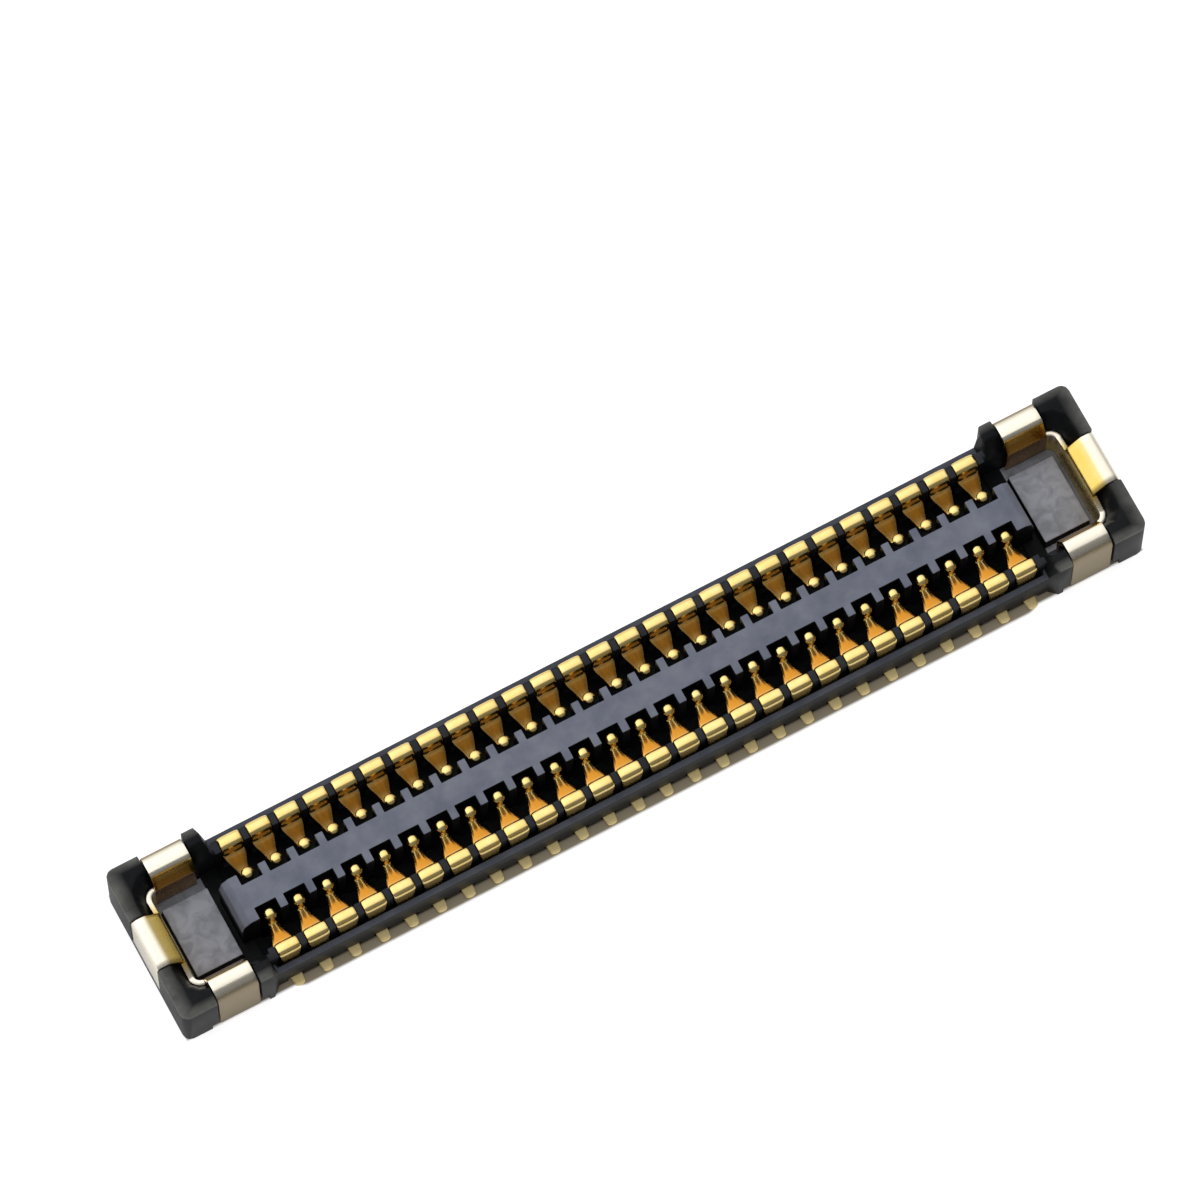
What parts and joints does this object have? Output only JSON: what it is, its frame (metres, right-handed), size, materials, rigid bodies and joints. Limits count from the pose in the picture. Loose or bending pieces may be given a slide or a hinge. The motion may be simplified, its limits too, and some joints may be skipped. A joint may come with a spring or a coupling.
{
  "type": "fpc connector",
  "caption": "Low-profile board-to-board receptacle for a flexible circuit: a black moulded body with formed gold contacts along both sides and a folded metal fitting in each end pocket.",
  "frame": {"origin": "centre of the solder plane under the body", "axes": "+X along the contact rows, +Y across them, +Z towards the mating side"},
  "size_m": [0.0136, 0.0022, 0.001],
  "materials": {
    "moulding": "black-grey glass-filled moulding, fine matt texture",
    "contact_gold": "gold-plated copper alloy strip, bright on the bends",
    "fitting_gold": "thinly gold-plated sheet, satin, pale on the flats"
  },
  "bodies": {
    "root": {"housing": "moulding", "contact_front_01": "contact_gold", "contact_front_02": "contact_gold", "contact_front_03": "contact_gold", "contact_front_04": "contact_gold", "contact_front_05": "contact_gold", "contact_front_06": "contact_gold", "contact_front_07": "contact_gold", "contact_front_08": "contact_gold", "contact_front_09": "contact_gold", "contact_front_10": "contact_gold", "contact_front_11": "contact_gold", "contact_front_12": "contact_gold", "contact_front_13": "contact_gold", "contact_front_14": "contact_gold", "contact_front_15": "contact_gold", "contact_front_16": "contact_gold", "contact_front_17": "contact_gold", "contact_front_18": "contact_gold", "contact_front_19": "contact_gold", "contact_front_20": "contact_gold", "contact_front_21": "contact_gold", "contact_front_22": "contact_gold", "contact_front_23": "contact_gold", "contact_front_24": "contact_gold", "contact_front_25": "contact_gold", "contact_front_26": "contact_gold", "contact_front_27": "contact_gold", "contact_rear_01": "contact_gold", "contact_rear_02": "contact_gold", "contact_rear_03": "contact_gold", "contact_rear_04": "contact_gold", "contact_rear_05": "contact_gold", "contact_rear_06": "contact_gold", "contact_rear_07": "contact_gold", "contact_rear_08": "contact_gold", "contact_rear_09": "contact_gold", "contact_rear_10": "contact_gold", "contact_rear_11": "contact_gold", "contact_rear_12": "contact_gold", "contact_rear_13": "contact_gold", "contact_rear_14": "contact_gold", "contact_rear_15": "contact_gold", "contact_rear_16": "contact_gold", "contact_rear_17": "contact_gold", "contact_rear_18": "contact_gold", "contact_rear_19": "contact_gold", "contact_rear_20": "contact_gold", "contact_rear_21": "contact_gold", "contact_rear_22": "contact_gold", "contact_rear_23": "contact_gold", "contact_rear_24": "contact_gold", "contact_rear_25": "contact_gold", "contact_rear_26": "contact_gold", "contact_rear_27": "contact_gold", "fitting_left": "fitting_gold", "fitting_right": "fitting_gold"}
  },
  "joints": []
}
